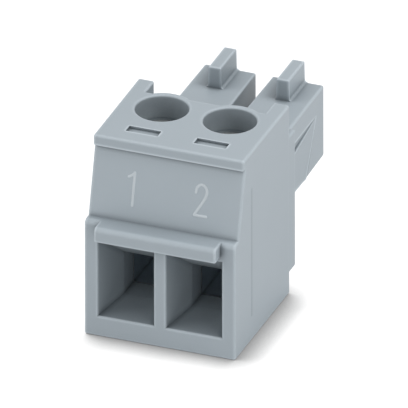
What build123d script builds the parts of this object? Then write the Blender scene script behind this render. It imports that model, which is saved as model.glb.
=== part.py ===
from build123d import *
import math
import os

os.makedirs("parts", exist_ok=True)

# Pluggable screw terminal block. Wires enter at the front (-Y), the clamping screws are turned from
# the top (+Z) and the nose mates with its header to the rear (+Y). Sizes are in millimetres, depths
# are counted from the flat front face and heights from the bottom face.

# Poles
pitch = 3.81
pole_count = 2
end_margin = 2.31  # centre line of an end pole to the side face

# Clamping height, from the bottom face upwards
floor_thickness = 0.75
cage_rest_gap = 0.05
cage_floor = 0.65
wire_space = 2.55
bar_thickness = 0.60
window_gap = 0.08
cage_head = 1.30
clamped_gap = 0.35  # wire space that is left when the cage is drawn right up
roof_gap = 0.05
roof_thickness = 0.32
head_gap = 0.05
head_height = 1.20
access_depth = 1.35

# Depth, from the front face to the rear
screw_setback = 5.34
cage_depth = 3.10
cage_end_gap = 0.15
rear_wall = 0.96
collar_depth = 1.00
nose_length = 6.36

# Front: ledge, ridge, leaning panel and the slab on top
ledge_height = 6.80
ledge_depth = 0.57
front_round = 0.30
ridge_reach = 0.77
ridge_height = 0.83
ridge_inset = 0.82
ridge_round = 0.27
ridge_lower_round = 0.08
ridge_end_round = 0.07
panel_lean = 14.5  # degrees from upright
slab_thickness = 0.60
slab_overhang = 0.20
edge_round = 0.10

# Wire ways
opening_width = 3.12
opening_sill = 1.19
opening_lintel = 1.10
funnel_depth = 2.27
channel_width = 1.96
channel_step = 0.03
opening_edge = 0.06  # bevel round each opening

# Screw ways
access_radius = 1.42
boss_wall = 0.32
top_behind_screw = 1.38  # rear edge of the top, behind the screw's centre line
rim_round = 0.12
side_wall = 0.865
slot_width = 1.79
slot_length = 0.58
slot_depth = 0.15
slot_before_screw = 2.41  # rear edge of the slot, ahead of the screw's centre line

# Collar
collar_bottom = 1.12
collar_inset = 0.04  # from each side face of the body
collar_drop = 1.92
collar_round = 0.15

# Nose
finger_width = 2.84
finger_gap = 0.93
finger_draft = 0.011  # growth of each side per millimetre towards the collar
finger_rise = 0.235  # underside of the nose tip above the underside of the contact bar
finger_height = 4.205
belly_draft = 0.0246
web_height = 1.40
nose_wall = 0.50
finger_side_wall = 0.54
nose_round = 0.10
belly_round = 0.18
rib_width = 0.67
rib_height = 1.216
rib_length = 2.33
rib_flare = 0.15
rib_draft = 0.02
rib_round = 0.06
pocket_drop = 1.24  # top edge of the side pocket below the top of the nose
pocket_end = 1.11  # rear end of the pocket ahead of the nose tip
pocket_lean = 0.50  # shift of the pocket's rear end per millimetre of height
pocket_depth = 0.42
mouth_size = 1.30
mouth_lead = 0.25

# Terminal screw
screw_radius = 1.00
head_radius = 1.30
head_side_gap = 0.06
driver_slot = 0.50
driver_slot_depth = 0.60
shank_gap = 0.05
thread_gap = 0.02
tip_gap = 0.05
head_edge = 0.12
tip_edge = 0.20

# Clamp cage
cage_width = 2.90
cage_side_gap = 0.05
bar_width = 1.90
bar_side_gap = 0.05
cage_bend = 0.25

# Contact
bar_front_gap = 0.15
riser_setback = 0.80  # rear wall's inner face to the front of the riser
duct_gap = 0.05
arm_thickness = 0.30
arm_height = 1.60
arm_spread = 1.30  # between the middles of the two arms where they leave the riser
arm_straight = 1.20
arm_gap = 0.62
arm_flare = 0.22
arm_bend = 1.00
arm_tip_gap = 0.30
throat_ahead = 1.30  # narrowest place of the socket ahead of the arm tips
strip_bend = 0.30

cut_margin = 1.0  # how far a cutting shape reaches past the face that it opens

# Places that follow from the sizes
width = pitch * (pole_count - 1) + 2 * end_margin
pole_places = [(i - (pole_count - 1) / 2) * pitch for i in range(pole_count)]
cage_bottom_z = floor_thickness + cage_rest_gap
wire_floor_z = cage_bottom_z + cage_floor
bar_z = wire_floor_z + wire_space
window_top_z = bar_z + bar_thickness + window_gap
cage_top_z = window_top_z + cage_head
travel = wire_space - clamped_gap
roof_z = cage_top_z + travel + roof_gap
seat_z = roof_z + roof_thickness
head_z = seat_z + head_gap
head_top_z = head_z + head_height
height = head_top_z + access_depth
slab_z = height - slab_thickness
panel_top_y = ledge_depth + (slab_z - ledge_height) * math.tan(math.radians(panel_lean))
slab_front_y = panel_top_y - slab_overhang
chamber_front_y = screw_setback - cage_depth / 2 - cage_end_gap
chamber_rear_y = screw_setback + cage_depth / 2 + cage_end_gap
body_depth = chamber_rear_y + rear_wall
collar_rear_y = body_depth + collar_depth
tip_y = collar_rear_y + nose_length
finger_z = bar_z + finger_rise
finger_top_z = finger_z + finger_height
web_top_z = finger_z + web_height
collar_top_z = height - collar_drop
chamber_width = cage_width + 2 * cage_side_gap
bar_slot_width = bar_width + 2 * bar_side_gap
riser_y = chamber_rear_y + riser_setback
arm_z = finger_z + (finger_height - arm_height) / 2
arm_tip_y = tip_y - nose_wall - arm_tip_gap
overall_depth = ridge_reach + tip_y
front_y = ridge_reach - overall_depth / 2  # places the origin under the middle of the whole block


# A block between two corners
def block(low, high):
    size = [end - start for start, end in zip(low, high)]
    return Pos(*low) * Box(*size, align=(Align.MIN, Align.MIN, Align.MIN))


# A rectangle that faces along the depth, centred on x, between two heights
def upright_rectangle(x, y, across, low_z, high_z):
    place = Plane(origin=(x, y, (low_z + high_z) / 2), x_dir=(1, 0, 0), z_dir=(0, 1, 0))
    return place * Rectangle(across, high_z - low_z)


# Body: its side profile, drawn across the whole width and rounded along both side faces
def body():
    outline = FilletPolyline(
        (0, 0),
        (body_depth, 0),
        (body_depth, height),
        (slab_front_y, height),
        (slab_front_y, slab_z),
        (panel_top_y, slab_z),
        (ledge_depth, ledge_height),
        (0, ledge_height),
        radius=[edge_round, edge_round, edge_round, edge_round, 0, 0, 0, front_round],
        close=True,
    )
    shape = extrude(Plane.YZ * make_face(outline), width / 2, both=True)
    ends = [shape.faces().sort_by(Axis.X)[0], shape.faces().sort_by(Axis.X)[-1]]
    return fillet([edge for end in ends for edge in end.edges()], edge_round)


# Ridge under the panel, for the finger that pulls the plug out
def ridge():
    low = ledge_height - ridge_height
    outline = FilletPolyline(
        (-ridge_reach, low),
        (ledge_depth, low),
        (ledge_depth, ledge_height),
        (-ridge_reach, ledge_height),
        radius=[ridge_lower_round, 0, 0, ridge_round],
        close=True,
    )
    half = width / 2 - ridge_inset
    shape = extrude(Plane.YZ * make_face(outline), half, both=True)
    ends = shape.edges().filter_by(lambda edge: abs(edge.center().X) > half - ridge_end_round)
    return fillet(ends.filter_by(lambda edge: edge.center().Y < 0), ridge_end_round)


# The space behind the top, between the two side walls, that leaves the screw bosses standing
def rear_notch():
    top_rear_y = screw_setback + top_behind_screw
    notch = block(
        (side_wall - width / 2, top_rear_y, seat_z),
        (width / 2 - side_wall, body_depth + cut_margin, height + cut_margin),
    )
    for x in pole_places:
        boss = Circle(access_radius + boss_wall)
        notch -= Pos(x, screw_setback, 0) * extrude(boss, height + 2 * cut_margin)
    return notch


# Collar: the flange that stops against the header's rim
def collar():
    outline = FilletPolyline(
        (body_depth - edge_round, collar_bottom),
        (collar_rear_y, collar_bottom),
        (collar_rear_y, collar_top_z),
        (body_depth - edge_round, collar_top_z),
        radius=[0, collar_round, collar_round, 0],
        close=True,
    )
    shape = extrude(Plane.YZ * make_face(outline), width / 2 - collar_inset, both=True)
    rear = shape.faces().sort_by(Axis.Y)[-1]
    sides = [edge for edge in rear.edges() if edge.bounding_box().size.X < edge_round]
    return fillet(sides, collar_round)


# Section of the nose at some distance ahead of its tip, over a width that is given at the tip
def nose_section(ahead, across_at_tip, low_z, high_z, draft):
    return upright_rectangle(0, tip_y - ahead, across_at_tip + 2 * draft * ahead, low_z, high_z)


# Nose: a drafted block, split from above into one finger for each pole
def nose():
    root = nose_length + collar_depth / 2
    across = pitch * (pole_count - 1) + finger_width
    belly = finger_z - belly_draft * root
    tip_section = nose_section(0, across, finger_z, finger_top_z, finger_draft)
    root_section = nose_section(root, across, belly, finger_top_z, finger_draft)
    shape = loft([tip_section, root_section], ruled=True)
    over = finger_top_z + cut_margin
    for x in pole_places[1:]:
        gap_tip = nose_section(-cut_margin, finger_gap, web_top_z, over, -finger_draft)
        gap_root = nose_section(nose_length, finger_gap, web_top_z, over, -finger_draft)
        shape -= Pos(x - pitch / 2, 0, 0) * loft([gap_tip, gap_root], ruled=True)
    long_edges = shape.edges().filter_by(lambda edge: abs(edge.tangent_at(0.5).Y) > 0.99)
    shape = fillet(long_edges.sort_by(Axis.Z)[:2], belly_round)
    long_edges = shape.edges().filter_by(lambda edge: abs(edge.tangent_at(0.5).Y) > 0.99)
    top_edges = long_edges.filter_by(lambda edge: edge.center().Z > finger_top_z - nose_round)
    return fillet(top_edges + shape.faces().sort_by(Axis.Y)[-1].edges(), nose_round)


# Coding rib on a finger: flared at the foot, drafted, and rounded at the top
def rib():
    half_top = rib_width / 2
    foot = half_top + rib_draft * rib_height
    toe = foot + rib_flare
    sink = nose_round  # reaches under the finger's rounded rear edge
    bend = rib_flare * (1 - math.sqrt(0.5))
    right = [
        Line((0, -sink), (toe, -sink)),
        Line((toe, -sink), (toe, 0)),
        ThreePointArc((toe, 0), (foot + bend, bend), (foot, rib_flare)),
        Line((foot, rib_flare), (half_top, rib_height)),
        Line((half_top, rib_height), (0, rib_height)),
    ]
    left = [mirror(edge, about=Plane.YZ) for edge in right]
    place = Plane(origin=(0, tip_y, finger_top_z), x_dir=(1, 0, 0), z_dir=(0, -1, 0))
    shape = extrude(make_face(place * (Curve() + right + left)), rib_length)
    return fillet(shape.faces().sort_by(Axis.Z)[-1].edges(), rib_round)


# Wedge that is cut out of one side of the nose, deepest at the collar
def side_pocket():
    top_z = finger_top_z - pocket_drop
    end_y = tip_y - pocket_end
    slope = pocket_depth / (end_y - collar_rear_y)
    surface = pole_places[-1] + finger_width / 2 + finger_draft * pocket_end
    sections = []
    for drop in (0, top_z):
        rear = end_y - pocket_lean * drop
        depth = slope * (rear - collar_rear_y)
        outline = Polyline(
            (surface, rear),
            (surface - depth, collar_rear_y),
            (width, collar_rear_y),
            (width, rear),
            close=True,
        )
        sections.append(Pos(0, 0, top_z - drop) * make_face(outline))
    return loft(sections, ruled=True)


# Wire way: a funnel from the front face and a straight channel that ends at the cage
def wire_way():
    channel_low = wire_floor_z + channel_step
    low, high = opening_sill, ledge_height - opening_lintel
    rim = upright_rectangle(
        0, 0, opening_width + 2 * opening_edge, low - opening_edge, high + opening_edge
    )
    mouth = upright_rectangle(0, opening_edge, opening_width, low, high)
    throat = upright_rectangle(0, funnel_depth, channel_width, channel_low, bar_z)
    channel = block(
        (-channel_width / 2, funnel_depth, channel_low),
        (channel_width / 2, screw_setback, bar_z),
    )
    return loft([rim, mouth, throat], ruled=True) + channel


# Screw way: access hole, recess for the head and hole for the shank, on one axis
def screw_way():
    outline = Curve() + [
        Polyline(
            (0, height),
            (0, roof_z - cage_head),
            (screw_radius + shank_gap, roof_z - cage_head),
            (screw_radius + shank_gap, seat_z),
            (head_radius + head_side_gap, seat_z),
            (head_radius + head_side_gap, head_top_z),
            (access_radius, head_top_z),
            (access_radius, height - rim_round),
        ),
        RadiusArc((access_radius, height - rim_round), (access_radius + rim_round, height), rim_round),
        Line((access_radius + rim_round, height), (0, height)),
    ]
    return Pos(0, screw_setback, 0) * revolve(Plane.XZ * make_face(outline), Axis.Z)


# Chamber in which the cage rises and falls
def cage_way():
    return block(
        (-chamber_width / 2, chamber_front_y, floor_thickness),
        (chamber_width / 2, chamber_rear_y, roof_z),
    )


# Way for the contact: a slot behind the cage, a pit for the riser and the hollow of the finger
def contact_way():
    half_slot = bar_slot_width / 2
    half_hollow = finger_width / 2 - finger_side_wall
    slot = block(
        (-half_slot, chamber_rear_y - cut_margin, bar_z - duct_gap),
        (half_slot, riser_y + bar_thickness, bar_z + bar_thickness + duct_gap),
    )
    pit = block(
        (-half_slot, riser_y - duct_gap, bar_z - duct_gap),
        (half_slot, riser_y + bar_thickness + duct_gap, finger_top_z - nose_wall),
    )
    hollow = block(
        (-half_hollow, riser_y, finger_z + nose_wall),
        (half_hollow, tip_y - nose_wall, finger_top_z - nose_wall),
    )
    middle = finger_z + finger_height / 2
    half_mouth = mouth_size / 2
    lead = half_mouth + mouth_lead
    mouth = block(
        (-half_mouth, tip_y - nose_wall - cut_margin, middle - half_mouth),
        (half_mouth, tip_y + cut_margin, middle + half_mouth),
    )
    inner = upright_rectangle(0, tip_y - mouth_lead, mouth_size, middle - half_mouth, middle + half_mouth)
    outer = upright_rectangle(0, tip_y, 2 * lead, middle - lead, middle + lead)
    return slot + pit + hollow + mouth + loft([inner, outer], ruled=True)


# Housing: everything that is moulded, in one piece
def housing():
    shape = body() - rear_notch() + ridge() + collar() + nose()
    pocket = side_pocket()
    shape = shape - pocket - mirror(pocket, about=Plane.YZ)
    slot_rear_y = screw_setback - slot_before_screw
    slot = block(
        (-slot_width / 2, slot_rear_y - slot_length, height - slot_depth),
        (slot_width / 2, slot_rear_y, height + cut_margin),
    )
    for x in pole_places:
        place = Pos(x, 0, 0)
        shape += place * rib()
        shape -= place * (wire_way() + cage_way())
        shape -= place * screw_way()
        shape -= place * contact_way()
        shape -= place * slot
    return soften(shape)


# Round the rear edge of the top, along the side walls, the bosses and the wall between them
def soften(shape):
    top = shape.faces().sort_by(Axis.Z)[-1]
    reach = width / 2 - side_wall + edge_round / 2
    rear_y = screw_setback + top_behind_screw - edge_round / 2
    rear = top.outer_wire().edges().filter_by(lambda edge: abs(edge.center().X) < reach)
    return fillet(rear.filter_by(lambda edge: edge.center().Y > rear_y), edge_round)


# Terminal screw: bevelled cheese head with a driver slot, shank down to just above the contact bar
def terminal_screw():
    tip_z = bar_z + bar_thickness + tip_gap
    outline = Polyline(
        (0, tip_z),
        (screw_radius - tip_edge, tip_z),
        (screw_radius, tip_z + tip_edge),
        (screw_radius, head_z),
        (head_radius, head_z),
        (head_radius, head_top_z - head_edge),
        (head_radius - head_edge, head_top_z),
        (0, head_top_z),
        close=True,
    )
    shape = revolve(Plane.XZ * make_face(outline), Axis.Z)
    shape -= block(
        (-head_radius, -driver_slot / 2, head_top_z - driver_slot_depth),
        (head_radius, driver_slot / 2, head_top_z + cut_margin),
    )
    return Pos(0, screw_setback, 0) * shape


# Clamp cage: a strip folded round to a square sleeve, threaded through its thick head
def clamp_cage():
    front = screw_setback - cage_depth / 2
    outer = upright_rectangle(0, front, cage_width, cage_bottom_z, cage_top_z)
    outer = fillet(outer.vertices(), cage_bend)
    window = upright_rectangle(0, front, bar_slot_width, wire_floor_z, window_top_z)
    shape = extrude(outer - window, cage_depth)
    thread = extrude(Circle(screw_radius + thread_gap), height)
    return shape - Pos(0, screw_setback, window_top_z - window_gap / 2) * thread


# Contact: a bent strip with a bar through the cage, a riser and two arms that close on the pin
def contact():
    bar_front_y = chamber_front_y + bar_front_gap
    top_z = arm_z + arm_height
    outline = FilletPolyline(
        (bar_front_y, bar_z),
        (riser_y + bar_thickness, bar_z),
        (riser_y + bar_thickness, top_z),
        (riser_y, top_z),
        (riser_y, bar_z + bar_thickness),
        (bar_front_y, bar_z + bar_thickness),
        radius=[0, strip_bend, 0, 0, 0, 0],
        close=True,
    )
    shape = extrude(Plane.YZ * make_face(outline), bar_width / 2, both=True)
    half = arm_spread / 2
    throat = (arm_gap + arm_thickness) / 2
    root_y = riser_y + bar_thickness / 2
    spine = FilletPolyline(
        (half, root_y),
        (half, root_y + arm_straight),
        (throat, arm_tip_y - throat_ahead),
        (throat + arm_flare, arm_tip_y),
        radius=arm_bend,
    )
    arm = extrude(Pos(0, 0, arm_z) * trace(spine, arm_thickness), arm_height)
    return shape + arm + mirror(arm, about=Plane.YZ)


# Every piece goes out in its place, one of each inner piece for each pole
def write(shape, name):
    export_step(Pos(0, front_y, 0) * shape, f"parts/{name}.step")


write(housing(), "housing")
for number, x in enumerate(pole_places, start=1):
    write(Pos(x, 0, 0) * terminal_screw(), f"terminal_screw_{number}")
    write(Pos(x, 0, 0) * clamp_cage(), f"clamp_cage_{number}")
    write(Pos(x, 0, 0) * contact(), f"contact_{number}")
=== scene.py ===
import bpy
import math
from mathutils import Vector, Matrix


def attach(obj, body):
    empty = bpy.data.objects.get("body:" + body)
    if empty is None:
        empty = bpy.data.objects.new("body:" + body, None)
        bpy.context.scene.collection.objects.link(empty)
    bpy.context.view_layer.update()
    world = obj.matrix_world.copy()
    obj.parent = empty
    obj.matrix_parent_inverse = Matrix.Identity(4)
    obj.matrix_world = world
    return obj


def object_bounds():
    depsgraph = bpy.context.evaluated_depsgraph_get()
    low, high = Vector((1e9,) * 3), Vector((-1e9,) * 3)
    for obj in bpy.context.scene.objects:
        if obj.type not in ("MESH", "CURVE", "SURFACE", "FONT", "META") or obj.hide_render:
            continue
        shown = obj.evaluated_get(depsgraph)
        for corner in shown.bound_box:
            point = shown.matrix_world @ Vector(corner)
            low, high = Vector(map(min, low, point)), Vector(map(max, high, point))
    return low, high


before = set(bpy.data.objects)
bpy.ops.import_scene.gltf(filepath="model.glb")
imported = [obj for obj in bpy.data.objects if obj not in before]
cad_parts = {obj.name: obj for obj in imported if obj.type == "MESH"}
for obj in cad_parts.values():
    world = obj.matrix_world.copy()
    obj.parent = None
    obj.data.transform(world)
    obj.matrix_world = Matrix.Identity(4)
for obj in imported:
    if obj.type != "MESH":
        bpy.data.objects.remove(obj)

cadLow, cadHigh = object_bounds()
mm = 0.001
print("frame loaded")


# A colour as the screen shows it, 0 to 255, as the linear value that shaders take (the sRGB curve)
def screenColour(red, green, blue):
    def linear(value):
        value = value / 255
        return value / 12.92 if value <= 0.04045 else ((value + 0.055) / 1.055) ** 2.4
    return (linear(red), linear(green), linear(blue), 1.0)


# Shader tree helpers
def addNode(tree, kind, x, y, **settings):
    node = tree.nodes.new(kind)
    node.location = (x, y)
    for key, value in settings.items():
        setattr(node, key, value)
    return node


def newMaterial(name, look):
    material = bpy.data.materials.new(name)
    material.use_nodes = True
    material.diffuse_color = look["colour"]
    tree = material.node_tree
    shader = tree.nodes["Principled BSDF"]
    shader.inputs["Base Color"].default_value = look["colour"]
    shader.inputs["Roughness"].default_value = look["roughness"]
    shader.inputs["Metallic"].default_value = look["metallic"]
    shader.inputs["Specular IOR Level"].default_value = look["specular"]
    return material, tree, shader


def newGroup(name, inputs, outputs):
    group = bpy.data.node_groups.new(name, "ShaderNodeTree")
    for label, kind, value in inputs:
        socket = group.interface.new_socket(label, in_out="INPUT", socket_type=kind)
        socket.default_value = value
    for label, kind in outputs:
        group.interface.new_socket(label, in_out="OUTPUT", socket_type=kind)
    entry = addNode(group, "NodeGroupInput", -1100, 0)
    result = addNode(group, "NodeGroupOutput", 700, 0)
    return group, entry, result


def placeGroup(tree, group, x, y, values):
    node = addNode(tree, "ShaderNodeGroup", x, y, node_tree=group)
    for key, value in values.items():
        node.inputs[key].default_value = value
    return node


# Surface grain: slow mottling of the colour, fine grain in the roughness and the height
def makeGrainGroup():
    group, entry, result = newGroup(
        "surfaceGrain",
        [
            ("Colour", "NodeSocketColor", (0.5, 0.5, 0.5, 1)),
            ("Blotches per mm", "NodeSocketFloat", 0.6),
            ("Grains per mm", "NodeSocketFloat", 16.0),
            ("Mottle", "NodeSocketFloat", 0.02),
            ("Roughness", "NodeSocketFloat", 0.45),
            ("Roughness Spread", "NodeSocketFloat", 0.06),
            ("Depth", "NodeSocketFloat", 0.001),
        ],
        [("Colour", "NodeSocketColor"), ("Roughness", "NodeSocketFloat"), ("Normal", "NodeSocketVector")],
    )
    links = group.links
    place = addNode(group, "ShaderNodeTexCoord", -1100, -300)
    perMm = addNode(group, "ShaderNodeVectorMath", -900, -300, operation="SCALE")
    perMm.inputs["Scale"].default_value = 1 / mm
    links.new(place.outputs["Object"], perMm.inputs[0])

    # noise of so many spots a mm, and its swing about zero
    def makeNoise(perLength, detail, y):
        noise = addNode(group, "ShaderNodeTexNoise", -600, y)
        noise.inputs["Detail"].default_value = detail
        links.new(perMm.outputs[0], noise.inputs["Vector"])
        links.new(entry.outputs[perLength], noise.inputs["Scale"])
        swing = addNode(group, "ShaderNodeMath", -350, y, operation="SUBTRACT")
        swing.inputs[1].default_value = 0.5
        links.new(noise.outputs["Fac"], swing.inputs[0])
        return noise.outputs["Fac"], swing.outputs[0]

    blotchSwing = makeNoise("Blotches per mm", detail=3, y=100)[1]
    fine, fineSwing = makeNoise("Grains per mm", detail=2, y=-250)
    amount = addNode(group, "ShaderNodeMath", -150, 100, operation="MULTIPLY_ADD")
    amount.inputs[2].default_value = 1
    links.new(blotchSwing, amount.inputs[0])
    links.new(entry.outputs["Mottle"], amount.inputs[1])
    tint = addNode(group, "ShaderNodeVectorMath", 100, 150, operation="SCALE")
    links.new(entry.outputs["Colour"], tint.inputs[0])
    links.new(amount.outputs[0], tint.inputs["Scale"])
    links.new(tint.outputs[0], result.inputs["Colour"])
    rough = addNode(group, "ShaderNodeMath", -100, -100, operation="MULTIPLY_ADD")
    links.new(fineSwing, rough.inputs[0])
    links.new(entry.outputs["Roughness Spread"], rough.inputs[1])
    links.new(entry.outputs["Roughness"], rough.inputs[2])
    links.new(rough.outputs[0], result.inputs["Roughness"])
    bump = addNode(group, "ShaderNodeBump", 100, -250)
    bump.inputs["Strength"].default_value = 1
    links.new(entry.outputs["Depth"], bump.inputs["Distance"])
    links.new(fine, bump.inputs["Height"])
    links.new(bump.outputs["Normal"], result.inputs["Normal"])
    return group


# How closed in a point is turns into a mask: gain times what is closed past the start.
# Edges look into the solid, corners and recesses look out of it.
maskRows = {
    "Edges": {"reach": "Edge Width mm", "inside": True, "gain": 3.2, "start": 0.0, "y": 300},
    "Corners": {"reach": "Corner Width mm", "inside": False, "gain": 2.0, "start": 0.0, "y": 0},
    "Recesses": {"reach": "Recess Reach mm", "inside": False, "gain": 2.0, "start": 0.15, "y": -300},
}
maskSamples = 8
deepestRange = (0.70, 0.92)   # closed shares between which the mask of the recesses eases off again


# Masks for a painted highlight on outer edges, and painted shade in tight inner corners and in recesses
def makeEdgeGroup():
    group, entry, result = newGroup(
        "paintedHighlightAndShade",
        [
            ("Edge Width mm", "NodeSocketFloat", 0.09),
            ("Corner Width mm", "NodeSocketFloat", 0.3),
            ("Recess Reach mm", "NodeSocketFloat", 2.0),
            ("Depth Relief", "NodeSocketFloat", 0.5),
        ],
        [(mask, "NodeSocketFloat") for mask in maskRows],
    )
    links = group.links
    closed = {}
    masks = {}
    for mask, row in maskRows.items():
        y = row["y"]
        length = addNode(group, "ShaderNodeMath", -850, y, operation="MULTIPLY")
        length.inputs[1].default_value = mm
        links.new(entry.outputs[row["reach"]], length.inputs[0])
        cover = addNode(group, "ShaderNodeAmbientOcclusion", -600, y, samples=maskSamples)
        cover.inside = row["inside"]
        cover.only_local = True
        links.new(length.outputs[0], cover.inputs["Distance"])
        left = addNode(group, "ShaderNodeMath", -350, y, operation="SUBTRACT")
        left.inputs[0].default_value = 1
        links.new(cover.outputs["AO"], left.inputs[1])
        strong = addNode(group, "ShaderNodeMath", -100, y, operation="MULTIPLY_ADD", use_clamp=True)
        strong.inputs[1].default_value = row["gain"]
        strong.inputs[2].default_value = -row["gain"] * row["start"]
        links.new(left.outputs[0], strong.inputs[0])
        closed[mask] = left.outputs[0]
        masks[mask] = strong.outputs[0]
    links.new(masks["Corners"], result.inputs["Corners"])
    # the painted edge highlight is left off where the recesses get painted shade
    outsideRecessShade = addNode(group, "ShaderNodeMath", 150, 150, operation="SUBTRACT")
    outsideRecessShade.inputs[0].default_value = 1
    edgeHighlight = addNode(group, "ShaderNodeMath", 400, 250, operation="MULTIPLY")
    links.new(masks["Recesses"], outsideRecessShade.inputs[1])
    links.new(masks["Edges"], edgeHighlight.inputs[0])
    links.new(outsideRecessShade.outputs[0], edgeHighlight.inputs[1])
    links.new(edgeHighlight.outputs[0], result.inputs["Edges"])
    # the painted shade of the recesses eases off where almost everything is closed
    deepest = addNode(group, "ShaderNodeMapRange", -100, -500)
    deepest.inputs["From Min"].default_value = deepestRange[0]
    deepest.inputs["From Max"].default_value = deepestRange[1]
    ease = addNode(group, "ShaderNodeMath", 150, -500, operation="MULTIPLY")
    eased = addNode(group, "ShaderNodeMath", 400, -400, operation="SUBTRACT")
    links.new(closed["Recesses"], deepest.inputs["Value"])
    links.new(deepest.outputs[0], ease.inputs[0])
    links.new(entry.outputs["Depth Relief"], ease.inputs[1])
    links.new(masks["Recesses"], eased.inputs[0])
    links.new(ease.outputs[0], eased.inputs[1])
    links.new(eased.outputs[0], result.inputs["Recesses"])
    return group


grainGroup = makeGrainGroup()
edgeGroup = makeEdgeGroup()
print("shader groups made")


# A base colour gets painted shade in recesses and corners, and a painted highlight on the edges
def shadeColour(tree, look, base):
    masks = placeGroup(tree, edgeGroup, -900, 500, {
        "Edge Width mm": look["edgeWidth"],
        "Corner Width mm": look["cornerWidth"],
        "Recess Reach mm": look["recessReach"],
        "Depth Relief": look["depthRelief"],
    })
    colour = base
    rows = [
        ("Recesses", "recessShadeColour", "recessShare"),
        ("Corners", "cornerShadeColour", "cornerShare"),
        ("Edges", "edgeHighlightColour", "edgeShare"),
    ]
    for step, (mask, tone, share) in enumerate(rows):
        amount = addNode(tree, "ShaderNodeMath", -700 + 220 * step, 650, operation="MULTIPLY")
        amount.inputs[1].default_value = look[share]
        tree.links.new(masks.outputs[mask], amount.inputs[0])
        blend = addNode(tree, "ShaderNodeMix", -600 + 220 * step, 350, data_type="RGBA")
        blend.inputs["B"].default_value = look[tone]
        tree.links.new(amount.outputs[0], blend.inputs["Factor"])
        tree.links.new(colour, blend.inputs["A"])
        colour = blend.outputs["Result"]
    return colour


def makeFinish(name, look):
    material, tree, shader = newMaterial(name, look)
    grain = placeGroup(tree, grainGroup, -900, 100, {
        "Colour": look["colour"],
        "Blotches per mm": look["blotchesPerMm"],
        "Grains per mm": look["grainsPerMm"],
        "Mottle": look["mottle"],
        "Roughness": look["roughness"],
        "Roughness Spread": look["roughnessSpread"],
        "Depth": look["grainDepth"] * mm,
    })
    tree.links.new(shadeColour(tree, look, grain.outputs["Colour"]), shader.inputs["Base Color"])
    tree.links.new(grain.outputs["Roughness"], shader.inputs["Roughness"])
    tree.links.new(grain.outputs["Normal"], shader.inputs["Normal"])
    return material


# Moulded plastic: smooth grey polyamide, paler on its edges by a painted highlight and darker in corners and
# recesses by painted shade. Widths, reaches and depths in mm.
housingLook = {
    "colour": screenColour(167, 177, 184),
    "edgeHighlightColour": screenColour(198, 208, 215),
    "edgeShare": 0.9,
    "edgeWidth": 0.15,
    "cornerShadeColour": screenColour(70, 77, 82),
    "cornerShare": 0.5,
    "cornerWidth": 0.34,
    "recessShadeColour": screenColour(66, 73, 78),
    "recessShare": 0.57,
    "recessReach": 5.0,
    "depthRelief": 0.9,
    "roughness": 0.48,
    "roughnessSpread": 0.08,
    "mottle": 0.035,
    "blotchesPerMm": 0.45,
    "grainsPerMm": 11.0,
    "grainDepth": 0.0016,
    "specular": 0.35,
    "metallic": 0.0,
}

# The numbers are moulded on in the same plastic, and a painted highlight makes them stand out paler
numberLook = dict(housingLook, colour=screenColour(192, 200, 205), edgeShare=0.3, cornerShare=0.0)
numberLook["recessShare"] = 0.0

# The witness lines get no painted edge highlight, and a painted shade makes them a little darker
seamLook = dict(numberLook, colour=screenColour(156, 166, 173), edgeShare=0.0)

# Plated metal: uneven bright plating, with a painted highlight on its edges and painted shade in its corners
# and recesses
screwLook = {
    "colour": screenColour(196, 198, 196),
    "edgeHighlightColour": screenColour(216, 217, 215),
    "edgeShare": 0.6,
    "edgeWidth": 0.06,
    "cornerShadeColour": screenColour(110, 110, 106),
    "cornerShare": 0.5,
    "cornerWidth": 0.15,
    "recessShadeColour": screenColour(120, 120, 116),
    "recessShare": 0.4,
    "recessReach": 0.6,
    "depthRelief": 0.0,
    "roughness": 0.46,
    "roughnessSpread": 0.20,
    "mottle": 0.16,
    "blotchesPerMm": 3.0,
    "grainsPerMm": 22.0,
    "grainDepth": 0.0025,
    "specular": 0.5,
    "metallic": 1.0,
}
cageLook = dict(screwLook, colour=screenColour(204, 213, 220), cornerShare=0.3, recessShare=0.1)
cageLook.update(roughness=0.42, blotchesPerMm=1.6)
contactLook = dict(screwLook, colour=screenColour(200, 198, 192), roughness=0.32, mottle=0.10)
contactLook.update(grainsPerMm=14.0)


# A CAD piece gets one material all over
def dress(node, material):
    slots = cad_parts[node].data.materials
    if len(slots) == 0:
        slots.append(material)
    for index in range(len(slots)):
        slots[index] = material


plastic = makeFinish("greyPlastic", housingLook)
numberHighlightPlastic = makeFinish("numberHighlightPlastic", numberLook)
seamPlastic = makeFinish("seamPlastic", seamLook)
screwMetal = makeFinish("zincScrew", screwLook)
cageMetal = makeFinish("zincCage", cageLook)
contactMetal = makeFinish("tinContact", contactLook)
dress("housing", plastic)
for pole in ("1", "2"):
    dress("terminal_screw_" + pole, screwMetal)
    dress("clamp_cage_" + pole, cageMetal)
    dress("contact_" + pole, contactMetal)
print("materials placed")


# A mesh object from corners in mm
def addMesh(name, corners, faces, material, smooth=False):
    mesh = bpy.data.meshes.new(name)
    mesh.from_pydata([Vector(corner) * mm for corner in corners], [], faces)
    mesh.update()
    for face in mesh.polygons:
        face.use_smooth = smooth
    mesh.materials.append(material)
    shape = bpy.data.objects.new(name, mesh)
    bpy.context.scene.collection.objects.link(shape)
    return shape


# A piece of the housing's plastic that moves with the housing
def addPiece(name, corners, faces, material, smooth=False):
    piece = addMesh(name, corners, faces, material, smooth)
    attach(piece, "housing")


# Form of a raised bead
beadForm = {
    "backSteps": 6,     # strips over the back
    "endSteps": 4,      # sections in each rounded end
    "endTip": 0.02,     # share of the width that the outermost section keeps
    "endRise": 1.3,     # how much sooner an end is at full height than at full width
    "fullness": 0.6,    # below 1 the back is fuller than a half circle
    "rimSunk": 0.4,     # share of the height by which both rims lie under the face
}


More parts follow.
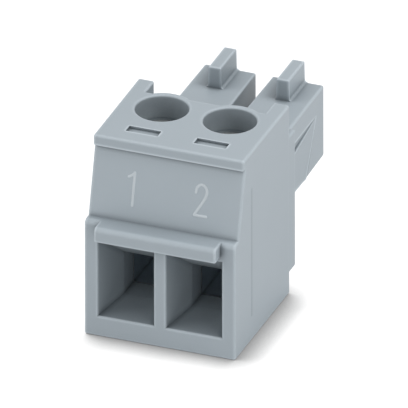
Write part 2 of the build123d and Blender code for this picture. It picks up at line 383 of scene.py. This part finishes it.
# A raised bead along a line on a flat face, its ends rounded off by half circles
def makeBead(name, line, origin, across, along, width, height, material):
    back, ends = beadForm["backSteps"], beadForm["endSteps"]
    across, along = Vector(across), Vector(along)
    outward = across.cross(along).normalized()
    centres = [Vector((x, y)) for x, y in line]
    sections = []
    for index, point in enumerate(centres):
        before = centres[max(index - 1, 0)]
        after = centres[min(index + 1, len(centres) - 1)]
        sections.append((point, (after - before).normalized(), 1.0))
    first, last = sections[0], sections[-1]
    start, finish = [], []
    for step in range(ends):
        angle = math.pi / 2 * step / ends
        reach = math.cos(angle) * width / 2
        share = max(math.sin(angle), beadForm["endTip"])
        start.append((first[0] - first[1] * reach, first[1], share))
        finish.insert(0, (last[0] + last[1] * reach, last[1], share))
    sections = start + sections + finish
    corners = []
    for point, heading, share in sections:
        sideways = Vector((heading.y, -heading.x))
        crest = height * min(1.0, share * beadForm["endRise"])
        for step in range(back + 1):
            angle = math.pi * step / back
            flat = point + sideways * math.cos(angle) * width / 2 * share
            rise = math.sin(angle) ** beadForm["fullness"] * crest
            if step in (0, back):
                rise = -height * beadForm["rimSunk"]
            corners.append(Vector(origin) + across * flat.x + along * flat.y + outward * rise)
    span = back + 1
    faces = []
    for row in range(len(sections) - 1):
        for step in range(back):
            corner = row * span + step
            faces.append((corner, corner + 1, corner + span + 1, corner + span))
    faces.append(tuple(range(span - 1, -1, -1)))
    faces.append(tuple(range((len(sections) - 1) * span, len(sections) * span)))
    addPiece(name, corners, faces, material, smooth=True)


# A smooth line through a few points, as a cubic curve from each point to the next
def smoothLine(points, steps):
    padded = [points[0]] + list(points) + [points[-1]]
    line = []
    for index in range(1, len(padded) - 2):
        p0, p1, p2, p3 = (Vector(padded[index + offset]) for offset in (-1, 0, 1, 2))
        for step in range(steps):
            t = step / steps
            line.append(0.5 * (2 * p1 + (p2 - p0) * t + (2 * p0 - 5 * p1 + 4 * p2 - p3) * t * t
                               + (3 * p1 - p0 - 3 * p2 + p3) * t ** 3))
    line.append(Vector(padded[-2]))
    return [(point.x, point.y) for point in line]


# Pole numbers on the leaning panel, in mm across the block and up the panel from its foot
numberPlace = {
    "panelFoot": (0.0, -6.725, 6.80),
    "panelLean": 14.5,   # degrees from upright
    "strokeWidth": 0.165,
    "strokeHeight": 0.022,
    "oneStem": [(-1.845, 0.89), (-1.845, 1.8), (-1.845, 2.66)],
    "oneFlag": [(-1.86, 2.63), (-1.98, 2.52), (-2.16, 2.42)],
    "twoBow": [(1.61, 2.22), (1.64, 2.44), (1.75, 2.60), (1.905, 2.665), (2.07, 2.61), (2.19, 2.45),
               (2.215, 2.27), (2.165, 2.03), (2.04, 1.76), (1.87, 1.45), (1.72, 1.19), (1.62, 0.99)],
    "twoFoot": [(1.62, 0.985), (1.95, 0.985), (2.27, 0.985)],
    "bowSteps": 4,       # steps between two points of the bow
}


def makeNumbers(look):
    lean = math.radians(look["panelLean"])
    across = (1, 0, 0)
    along = (0, math.sin(lean), math.cos(lean))
    width, height = look["strokeWidth"], look["strokeHeight"]
    strokes = {
        "poleNumber1Stem": look["oneStem"],
        "poleNumber1Flag": look["oneFlag"],
        "poleNumber2Bow": smoothLine(look["twoBow"], look["bowSteps"]),
        "poleNumber2Foot": look["twoFoot"],
    }
    for name, line in strokes.items():
        makeBead(name, line, look["panelFoot"], across, along, width, height, numberHighlightPlastic)


makeNumbers(numberPlace)

# Witness line of the mould on both side faces, in mm from front to back and up
seamPlace = {"y": -4.815, "low": 1.53, "high": 8.90, "width": 0.26, "height": 0.008}


def makeSeams(look):
    heights = [look["low"], (look["low"] + look["high"]) / 2, look["high"]]
    for name, side in (("seamRight", 1), ("seamLeft", -1)):
        line = [(side * look["y"], z) for z in heights]
        sideFace = (side * cadHigh[0] / mm, 0, 0)
        makeBead(name, line, sideFace, (0, side, 0), (0, 0, 1), look["width"], look["height"], seamPlastic)


makeSeams(seamPlace)

# Ramps in the side pockets of the nose, each with a groove above it that closes at the rear.
# Right side, in mm.
rampPlace = {
    "groovePeak": (2.935, 1.70, 7.20),   # at the collar, from the top down
    "grooveFoot": (2.975, 1.70, 5.95),
    "rampTop": (3.21, 1.70, 5.95),
    "rampFoot": (3.26, 1.70, 4.13),
    "tip": (3.339, 6.955, 7.20),         # where groove and ramp run out at the rear
    "rampEnd": (3.295, 5.02, 4.18),
    "rearFoot": (3.339, 5.425, 4.19),
    "inside": 2.86,                      # how far out the hidden face lies, within the wall of the nose
}


def makeRamps(look):
    outer = ["groovePeak", "grooveFoot", "rampTop", "rampFoot", "tip", "rampEnd", "rearFoot"]
    corners = [look[name] for name in outer]
    corners += [(look["inside"], *look[name][1:]) for name in ("groovePeak", "tip", "rearFoot", "rampFoot")]
    skin = [(0, 1, 4), (1, 2, 4), (2, 3, 5, 4), (4, 5, 6)]
    hidden = [(0, 7, 10, 3, 2, 1), (0, 4, 8, 7), (4, 6, 9, 8), (3, 10, 9, 6, 5), (7, 8, 9, 10)]
    addPiece("noseRampRight", corners, skin + hidden, plastic)
    mirrored = [(-x, y, z) for x, y, z in corners]
    addPiece("noseRampLeft", mirrored, [face[::-1] for face in skin + hidden], plastic)


makeRamps(rampPlace)
print("numbers, seams and ramps placed")


# Floor and world. Lengths in mm.
stageLook = {
    "floorSize": 600.0,
    "floorColour": (0.65, 0.65, 0.65, 1),    # the floor that lights the block
    "shadowColour": (0.22, 0.22, 0.22, 1),   # how strongly the lamps' shadows show on the white floor
    "floorGlow": 0.95,                       # its own white away from the block
    # contactDark to contactSamples set a painted contact shadow: the floor's own glow dims beside the block
    "contactDark": 0.10,                     # and against the block
    "contactDarkAt": 0.35,                   # share of open sky at which it is darkest
    "contactWhiteAt": 0.90,                  # and at which it is white again
    "contactReach": 1.9,
    "contactSide": (-0.60, 0.55, 0.58),      # the way the contact shadow looks for the block
    "contactSamples": 16,
    "ambient": 0.464,                        # even light from all round
}

# Soft lamps: power in watts, size in mm, the side they stand on
lampLook = {
    "frontLamp": {"power": 0.029, "size": 100.0, "side": (-0.3, -1, 0.35)},
    "cornerLamp": {"power": 0.0275, "size": 100.0, "side": (1, -0.9, 0.25)},
    "highLamp": {"power": 0.089, "size": 80.0, "side": (0.7, 0.1, 1)},
    "leftLamp": {"power": 0.047, "size": 100.0, "side": (-1, -0.4, 0.6)},
}
lampDistance = 140.0   # mm from the middle of the block


# One shader for the light that falls on the block, another for what the camera and reflections see
def splitBySight(tree, lighting, shown, out):
    ray = addNode(tree, "ShaderNodeLightPath", -700, 500)
    direct = addNode(tree, "ShaderNodeMath", -500, 500, operation="MAXIMUM")
    seen = addNode(tree, "ShaderNodeMath", -300, 500, operation="MAXIMUM")
    pick = addNode(tree, "ShaderNodeMixShader", 200, 150)
    tree.links.new(ray.outputs["Is Camera Ray"], direct.inputs[0])
    tree.links.new(ray.outputs["Is Glossy Ray"], direct.inputs[1])
    tree.links.new(direct.outputs[0], seen.inputs[0])
    tree.links.new(ray.outputs["Is Transmission Ray"], seen.inputs[1])
    tree.links.new(seen.outputs[0], pick.inputs["Fac"])
    tree.links.new(lighting.outputs[0], pick.inputs[1])
    tree.links.new(shown.outputs[0], pick.inputs[2])
    tree.links.new(pick.outputs[0], out.inputs["Surface"])


def makeFloorMaterial(look):
    material = bpy.data.materials.new("paleFloor")
    material.use_nodes = True
    tree = material.node_tree
    tree.nodes.remove(tree.nodes["Principled BSDF"])
    # the block is lit by a plain pale floor
    matt = addNode(tree, "ShaderNodeBsdfDiffuse", -200, 250)
    matt.inputs["Color"].default_value = look["floorColour"]
    # the camera sees a white one, with the lamps' shadows kept and a painted contact shadow dimming its glow
    # next to the block
    shaded = addNode(tree, "ShaderNodeBsdfDiffuse", -200, 0)
    shaded.inputs["Color"].default_value = look["shadowColour"]
    # painted contact shadow: the glow dims where the block closes off the open sky, leaning to one side
    lean = addNode(tree, "ShaderNodeCombineXYZ", -900, -200)
    for axis, value in zip("XYZ", look["contactSide"]):
        lean.inputs[axis].default_value = value
    contact = addNode(tree, "ShaderNodeAmbientOcclusion", -700, -200, samples=look["contactSamples"])
    contact.inputs["Distance"].default_value = look["contactReach"] * mm
    fade = addNode(tree, "ShaderNodeMapRange", -450, -200)
    fade.inputs["From Min"].default_value = look["contactDarkAt"]
    fade.inputs["From Max"].default_value = look["contactWhiteAt"]
    fade.inputs["To Min"].default_value = look["contactDark"]
    fade.inputs["To Max"].default_value = look["floorGlow"]
    glow = addNode(tree, "ShaderNodeEmission", -200, -200)
    white = addNode(tree, "ShaderNodeAddShader", 0, -50)
    tree.links.new(lean.outputs[0], contact.inputs["Normal"])
    tree.links.new(contact.outputs["AO"], fade.inputs["Value"])
    tree.links.new(fade.outputs[0], glow.inputs["Strength"])
    tree.links.new(shaded.outputs[0], white.inputs[0])
    tree.links.new(glow.outputs[0], white.inputs[1])
    splitBySight(tree, matt, white, tree.nodes["Material Output"])
    return material


def makeFloor(look):
    half = look["floorSize"] / 2
    corners = [(-half, -half, 0), (half, -half, 0), (half, half, 0), (-half, half, 0)]
    floor = addMesh("floor", corners, [(0, 1, 2, 3)], makeFloorMaterial(look))


def makeWorld(look):
    world = bpy.data.worlds.new("softRoom")
    bpy.context.scene.world = world
    world.use_nodes = True
    tree = world.node_tree
    room = tree.nodes["Background"]
    room.inputs["Color"].default_value = (1, 1, 1, 1)
    room.inputs["Strength"].default_value = look["ambient"]
    white = addNode(tree, "ShaderNodeBackground", -200, -200)
    white.inputs["Color"].default_value = (1, 1, 1, 1)
    splitBySight(tree, room, white, tree.nodes["World Output"])


def makeLamp(name, look, target):
    light = bpy.data.lights.new(name, "AREA")
    light.shape = "DISK"
    light.size = look["size"] * mm
    light.energy = look["power"]
    lamp = bpy.data.objects.new(name, light)
    bpy.context.scene.collection.objects.link(lamp)
    away = Vector(look["side"]).normalized()
    lamp.location = target + away * lampDistance * mm
    lamp.rotation_mode = "QUATERNION"
    lamp.rotation_quaternion = away.to_track_quat("Z", "Y")


makeFloor(stageLook)
makeWorld(stageLook)
blockMiddle = Vector((cadLow + cadHigh) / 2)
for lampName, lamp in lampLook.items():
    makeLamp(lampName, lamp, blockMiddle)
print("stage lit")


# Camera: a parallel view, fitted to the straight edges of the block. Angles in degrees, lengths in mm.
cameraView = {
    "azimuth": 20.98,
    "elevation": 28.455,
    "roll": -0.104,
    "pixelsPerMm": 19.125,
    "imageSide": 408,                # pixels
    "lookAt": (-0.05, -1.295, 5.55),
    "sideStep": 0.2208,              # from there to the right and down in the picture
    "downStep": 0.0758,
    "distance": 120.0,
    "clipStart": 1.0,
    "clipEnd": 5000.0,
}


def makeCamera(look):
    azimuth = math.radians(look["azimuth"])
    elevation = math.radians(look["elevation"])
    roll = math.radians(look["roll"])
    right = Vector((math.cos(azimuth), math.sin(azimuth), 0))
    level = Vector((-math.sin(azimuth), math.cos(azimuth), 0))
    ahead = level * math.cos(elevation) - Vector((0, 0, math.sin(elevation)))
    up = right.cross(ahead)
    target = Vector(look["lookAt"]) + right * look["sideStep"] - up * look["downStep"]
    rolledRight = right * math.cos(roll) + up * math.sin(roll)
    rolledUp = up * math.cos(roll) - right * math.sin(roll)
    lens = bpy.data.cameras.new("photoCamera")
    lens.type = "ORTHO"
    lens.ortho_scale = look["imageSide"] / look["pixelsPerMm"] * mm
    lens.clip_start = look["clipStart"] * mm
    lens.clip_end = look["clipEnd"] * mm
    camera = bpy.data.objects.new("photoCamera", lens)
    bpy.context.scene.collection.objects.link(camera)
    turn = Matrix((rolledRight, rolledUp, -ahead)).transposed().to_4x4()
    camera.matrix_world = Matrix.Translation((target - ahead * look["distance"]) * mm) @ turn
    bpy.context.scene.camera = camera


makeCamera(cameraView)
bpy.context.scene.view_settings.view_transform = "Standard"
print("camera set")
